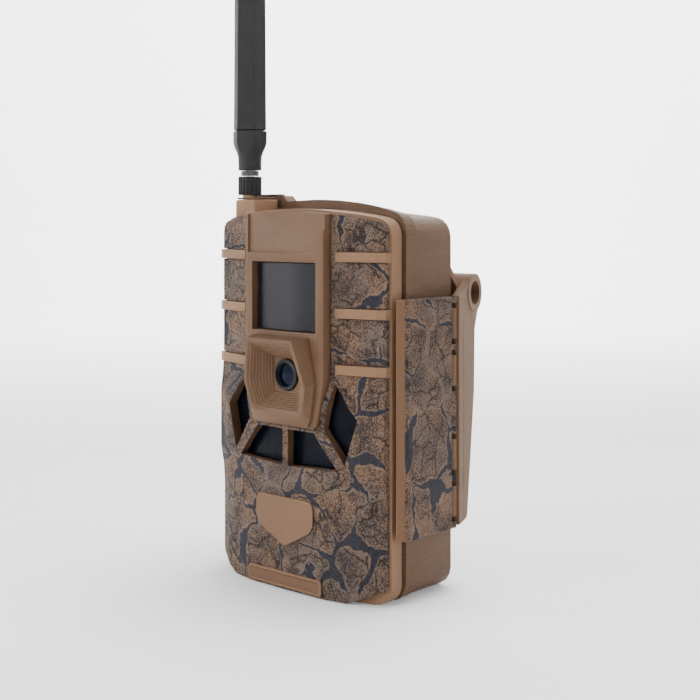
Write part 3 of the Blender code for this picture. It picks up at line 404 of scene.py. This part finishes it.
LOOKS = {
    # Painted light: the shell is a lighter copy of the case's one brown, standing for its well-lit front
    # ribs.
    "brown_shell": moulded("look_brown_shell_painted_light", shade(BROWN, 1.12)),
    # Painted shade: the housing is a darker copy of the same brown, for its side in shade; its streaks are
    # real grain.
    "brown_housing": moulded("look_brown_housing_painted_shade", shade(BROWN, 0.60), grain=0.45, streaks=0.40),
    # Painted shade: the bracket is a darker copy of the same brown, with painted shade in its wing grooves
    # too.
    "brown_bracket": sunken("look_brown_bracket_painted_shade", shade(BROWN, 0.72), wing_groove, 0.35, 0.45),
    # Painted shade: the bezel is a darker copy of the same brown, standing for shade on its front.
    "brown_bezel": moulded("look_brown_bezel_painted_shade", shade(BROWN, 0.66), grain=0.045),
    "brown_pad": moulded("look_brown_pad", shade(BROWN, 0.5)),
    "brown_inner": moulded("look_brown_inner", shade(BROWN, 0.8)),
    # Painted shade darkens the name plate's sunken field.
    "plate": sunken("look_plate", shade(BROWN, 0.92), plate_field, 0.5, 0.50),
    "badge": moulded("look_badge", shade(BROWN, 0.86), grain=0.05),
    "bark_cover": bark("look_bark_cover"),
    "bark_latch": bark("look_bark_latch", plain_strip=True),
    "motion_window": sensor_film("look_motion_window"),
    "smoked_filter": glossy("look_smoked_filter", (0.0022, 0.0030, 0.0065), 0.16, specular=0.06),
    "display_window": glossy("look_display_window", (0.012, 0.013, 0.015), 0.08),
    "lens_glass": glossy("look_lens_glass", (0.0016, 0.0032, 0.014), 0.08, smears=0.0, specular=0.10),
    "filter_glass": glossy("look_filter_glass", (0.10, 0.20, 0.22), 0.05),
    "black_plastic": moulded("look_black_plastic", (0.022, 0.022, 0.024), grain=0.03),
    "aerial_black": moulded("look_aerial_black", (0.024, 0.024, 0.0245), grain=0.03, specular=0.10),
    "chromed_ring": metal("look_chromed_ring", (0.085, 0.083, 0.08), 0.16),
    "brass": metal("look_brass", (0.20, 0.15, 0.07), 0.34),
    "blackened_steel": metal("look_blackened_steel", (0.020, 0.016, 0.013), 0.55),
    "steel": metal("look_steel", (0.52, 0.52, 0.52), 0.30),
    "circuit_board": circuit("look_circuit_board"),
    "grey_plastic": moulded("look_grey_plastic", (0.055, 0.056, 0.060), grain=0.05),
    "seal_rubber": moulded("look_seal_rubber", (0.018, 0.018, 0.018), grain=0.05),
    "battery_wrap": wrapped("look_battery_wrap"),
}

# Nodes whose look isn't the one named after their material slot.
LOOK_OF = {
    "latch_pin": "blackened_steel",
    "door_pin": "blackened_steel",
    "rear_case": "brown_housing",
    "tree_bracket": "brown_bracket",
    "side_latch": "bark_latch",
    "name_plate": "plate",
    "ir_led_board": "circuit_board",
}
SLOT_OF = {row["node"]: row["material_slot"] for row in frame["record"]["subparts"]}


# ---------------------------------------------------------------- pieces

MERGE_WITHIN = 0.004             # corners closer than this are one corner
FLAT_WITHIN = 0.6                # faces that meet at less than these degrees are one flat face
SHARP_FROM = 34.0                # edges that turn by more than these degrees stay crisp and get a round

EDGE_ROUND = 0.15
EDGE_ROUNDS = {
    "front_case": 0.5, "rear_case": 0.6, "tree_bracket": 0.5, "center_bezel": 0.55, "side_latch": 0.35,
    "camo_cover": 0.35, "antenna_sleeve": 0.5, "antenna_foot": 0.3, "antenna_pad": 0.25,
    "antenna_collar": 0.12, "front_badge": 0.22, "name_plate": 0.22, "inner_panel": 0.25,
    "battery_tray": 0.4, "motion_window": 0.2, "lens_glass": 0.0, "ir_filter": 0.1, "main_board": 0.1,
    "camera_board": 0.1, "ir_led_board": 0.1, "daylight_filter": 0.08, "contact_plate_low": 0.1,
    "contact_plate_middle": 0.1, "contact_plate_high": 0.1, "door_seal": 0.2,
}


def body_of(node):
    return frame["nodes"][node]["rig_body"]


def settle(piece, body):
    """Put a finished piece on its body."""
    bpy.context.scene.collection.objects.link(piece)
    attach(piece, body)


def from_bmesh(work, name):
    mesh = bpy.data.meshes.new(name)
    work.to_mesh(mesh)
    work.free()
    return bpy.data.objects.new(name, mesh)


def clean_copy(node):
    """The node's CAD shape as a bmesh with its flat faces whole again, ready for bevels."""
    work = bmesh.new()
    work.from_mesh(frame["nodes"][node].data)
    bmesh.ops.remove_doubles(work, verts=work.verts, dist=MERGE_WITHIN * MM)
    flat = math.radians(FLAT_WITHIN)
    bmesh.ops.dissolve_limit(work, angle_limit=flat, verts=work.verts, edges=work.edges)
    bmesh.ops.recalc_face_normals(work, faces=work.faces)
    return work


def smooth(piece, degrees):
    """Smooth shading, with edges that turn by more than these degrees left crisp."""
    piece.data.shade_smooth()
    piece.data.set_sharp_from_angle(angle=math.radians(degrees))


def round_edges(piece, width):
    """A small round on each crisp edge."""
    bevel = piece.modifiers.new("rounds", "BEVEL")
    bevel.width = width * MM
    bevel.segments = 2
    bevel.limit_method = "ANGLE"
    bevel.angle_limit = math.radians(SHARP_FROM)
    bevel.harden_normals = True
    bevel.use_clamp_overlap = True
    bevel.miter_outer = "MITER_ARC"


def skin(node):
    """A refined stand-in for one CAD node."""
    piece = from_bmesh(clean_copy(node), node + "_skin")
    piece.data.materials.append(LOOKS[LOOK_OF.get(node, SLOT_OF[node])])
    smooth(piece, SHARP_FROM)
    width = EDGE_ROUNDS.get(node, EDGE_ROUND)
    if width:
        round_edges(piece, width)
    settle(piece, body_of(node))
    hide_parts(node)
    return piece


skins = {node: skin(node) for node in sorted(frame["nodes"])}


# ---------------------------------------------------------------- walls of the infrared openings

OPENINGS_LOW = 50.0
OPENINGS_HIGH = 86.0
OPENINGS_HALF = 38.0
OPENINGS_FRONT = -7.2
WALL_SLANT = 0.35                # largest part of a wall's normal along Y


def lines_an_opening(centre, normal):
    """Whether a face of the cover, by its centre in millimetres, lines one of the four openings."""
    between = OPENINGS_LOW < centre.z < OPENINGS_HIGH and abs(centre.x) < OPENINGS_HALF
    return between and centre.y > OPENINGS_FRONT and abs(normal.y) < WALL_SLANT


def paint_opening_walls(cover):
    """Plain brown, darkened as painted shade, on the faces that line the openings, where the print ends.
    """
    # The dark brown on these walls is painted shade inside the openings.
    cover.data.materials.append(LOOKS["brown_pad"])
    shaded_plain = len(cover.data.materials) - 1
    for face in cover.data.polygons:
        centre = face.center / MM + Vector((0.0, ORIGIN_Y, 0.0))
        if lines_an_opening(centre, face.normal):
            face.material_index = shaded_plain


paint_opening_walls(skins["camo_cover"])


# ---------------------------------------------------------------- lens hood

# Corners of the funnel's right half from top to bottom: round its mouth, and down round the lens.
HOOD_MOUTH = ((11.6, -16.6, 100.2), (15.9, -13.5, 83.5), (13.4, -12.0, 73.6), (11.8, -11.6, 72.2))
HOOD_FLOOR = ((6.9, -6.0, 93.4), (7.0, -6.0, 86.0), (7.0, -6.0, 81.0), (6.6, -6.0, 79.5))
HOOD_STEPS = 8
LINING_START = 0.10              # shares of the way from the mouth to the floor
LINING_END = 0.97
TREAD_WIDTH = 0.55               # shares of one step that its flatter half takes
TREAD_DEPTH = 0.12
HOOD_SHARP_FROM = 20.0


def hood_ring(across, down):
    """Corners all round the funnel at these shares of the way in and of the way down."""
    right = []
    for mouth, floor in zip(HOOD_MOUTH, HOOD_FLOOR):
        x = mouth[0] + (floor[0] - mouth[0]) * across
        y = mouth[1] + (floor[1] - mouth[1]) * down
        z = mouth[2] + (floor[2] - mouth[2]) * across
        right.append((x, y, z))
    return right + [(-x, y, z) for x, y, z in reversed(right)]


def hood_rings():
    """The lining's rings from its mouth inwards, two for each step."""
    step = (LINING_END - LINING_START) / HOOD_STEPS
    rings = []
    for k in range(HOOD_STEPS):
        share = LINING_START + step * k
        rings.append(hood_ring(share, share))
        rings.append(hood_ring(share + step * TREAD_WIDTH, share + step * TREAD_DEPTH))
    rings.append(hood_ring(LINING_END, LINING_END))
    return rings


def hood_steps():
    """Fine stepped lining of the funnel round the lens, facing forwards."""
    work = bmesh.new()
    loops = [[work.verts.new(metres(*point)) for point in ring] for ring in hood_rings()]
    for near, far in zip(loops, loops[1:]):
        for i in range(len(near)):
            j = (i + 1) % len(near)
            work.faces.new((near[i], near[j], far[j], far[i]))
    bmesh.ops.recalc_face_normals(work, faces=work.faces)
    if sum(face.normal.y for face in work.faces) > 0.0:
        bmesh.ops.reverse_faces(work, faces=work.faces)
    piece = from_bmesh(work, "hood_steps")
    # The bezel's darker copy of the brown, with its painted shade.
    piece.data.materials.append(LOOKS["brown_bezel"])
    smooth(piece, HOOD_SHARP_FROM)
    settle(piece, body_of("center_bezel"))


hood_steps()


# ---------------------------------------------------------------- studio

FLOOR_RADIUS = 1.5
SWEEP_RADIUS = 0.9               # the floor curves up into the backdrop on this radius
SWEEP_STEPS = 12
BACKDROP_HEIGHT = 3.0
FLOOR_SIDES = 72
FLOOR_GLOW = 0.12
SURROUNDING_LIGHT = 0.20

CAMERA_PLACE = (0.3595, -0.3846, 0.1488)
CAMERA_HEADING = 42.28
FOCAL_LENGTH = 64.65             # millimetres, for the sensor's width in millimetres below
SENSOR_WIDTH = 36.0
FRAME_SHIFT = -0.1856

CASE_MIDDLE = (0.0, 0.0, 0.09)

# Name, place, width and height, watts, and the point that the lamp faces.
LAMPS = (
    ("key", (-0.40, -1.40, 0.70), (0.6, 0.9), 12.5, CASE_MIDDLE),
    ("strip", (-1.25, -0.80, 0.62), (0.22, 0.80), 12.0, (0.0, 0.0, 0.20)),
    ("side", (1.45, -0.10, 0.60), (0.5, 0.9), 0.8, CASE_MIDDLE),
    ("top", (0.05, 0.20, 0.85), (0.45, 0.45), 11.0, CASE_MIDDLE),
    ("backdrop", (-0.50, 0.75, 1.30), (1.0, 0.6), 115.0, (-1.9, 2.0, 0.5)),
)


def sweep_profile():
    """Radius and height from the flat floor's rim up the sweep to the backdrop's top."""
    profile = [(FLOOR_RADIUS, 0.0)]
    for k in range(1, SWEEP_STEPS + 1):
        turn = math.radians(90 * k / SWEEP_STEPS)
        radius = FLOOR_RADIUS + SWEEP_RADIUS * math.sin(turn)
        profile.append((radius, SWEEP_RADIUS * (1 - math.cos(turn))))
    profile.append((FLOOR_RADIUS + SWEEP_RADIUS, BACKDROP_HEIGHT))
    return profile


def circle(work, radius, height):
    points = []
    for k in range(FLOOR_SIDES):
        turn = 2 * math.pi * k / FLOOR_SIDES
        points.append(work.verts.new((radius * math.cos(turn), radius * math.sin(turn), height)))
    return points


def floor_look():
    g = Graph("look_floor")
    g.shader.inputs["Emission Color"].default_value = (1.0, 1.0, 1.0, 1.0)
    g.shader.inputs["Emission Strength"].default_value = FLOOR_GLOW
    return g.paint(g.mix(g.noise(0.004), (0.84, 0.84, 0.84), (0.88, 0.88, 0.88)), 0.9)


def studio():
    """Pale floor that sweeps up all round, so that every view has the same plain backdrop."""
    work = bmesh.new()
    loops = [circle(work, radius, height) for radius, height in sweep_profile()]
    middle = work.verts.new((0.0, 0.0, 0.0))
    for i in range(FLOOR_SIDES):
        work.faces.new((middle, loops[0][i], loops[0][(i + 1) % FLOOR_SIDES]))
    for near, far in zip(loops, loops[1:]):
        for i in range(FLOOR_SIDES):
            j = (i + 1) % FLOOR_SIDES
            work.faces.new((near[j], near[i], far[i], far[j]))
    floor = from_bmesh(work, "studio_floor")
    floor.data.shade_smooth()
    floor.data.materials.append(floor_look())
    bpy.context.scene.collection.objects.link(floor)


def camera():
    """Level camera at the fitted place; its frame is shifted down, as the photograph's horizon is high."""
    data = bpy.data.cameras.new("camera")
    data.lens = FOCAL_LENGTH
    data.sensor_width = SENSOR_WIDTH
    data.shift_y = FRAME_SHIFT
    data.clip_start = 0.01
    made = bpy.data.objects.new("camera", data)
    made.location = CAMERA_PLACE
    made.rotation_euler = (math.pi / 2, 0.0, math.radians(CAMERA_HEADING))
    bpy.context.scene.collection.objects.link(made)
    bpy.context.scene.camera = made


def lamp(name, place, size, power, towards):
    data = bpy.data.lights.new(name, "AREA")
    data.shape = "RECTANGLE"
    data.size, data.size_y = size
    data.energy = power
    made = bpy.data.objects.new(name, data)
    made.location = place
    made.rotation_euler = (Vector(towards) - Vector(place)).to_track_quat("-Z", "Y").to_euler()
    bpy.context.scene.collection.objects.link(made)


def surroundings():
    """Even white light from all round."""
    world = bpy.data.worlds.new("studio_world")
    world.use_nodes = True
    background = world.node_tree.nodes["Background"]
    background.inputs["Color"].default_value = (1.0, 1.0, 1.0, 1.0)
    background.inputs["Strength"].default_value = SURROUNDING_LIGHT
    bpy.context.scene.world = world


studio()
camera()
for row in LAMPS:
    lamp(*row)
surroundings()
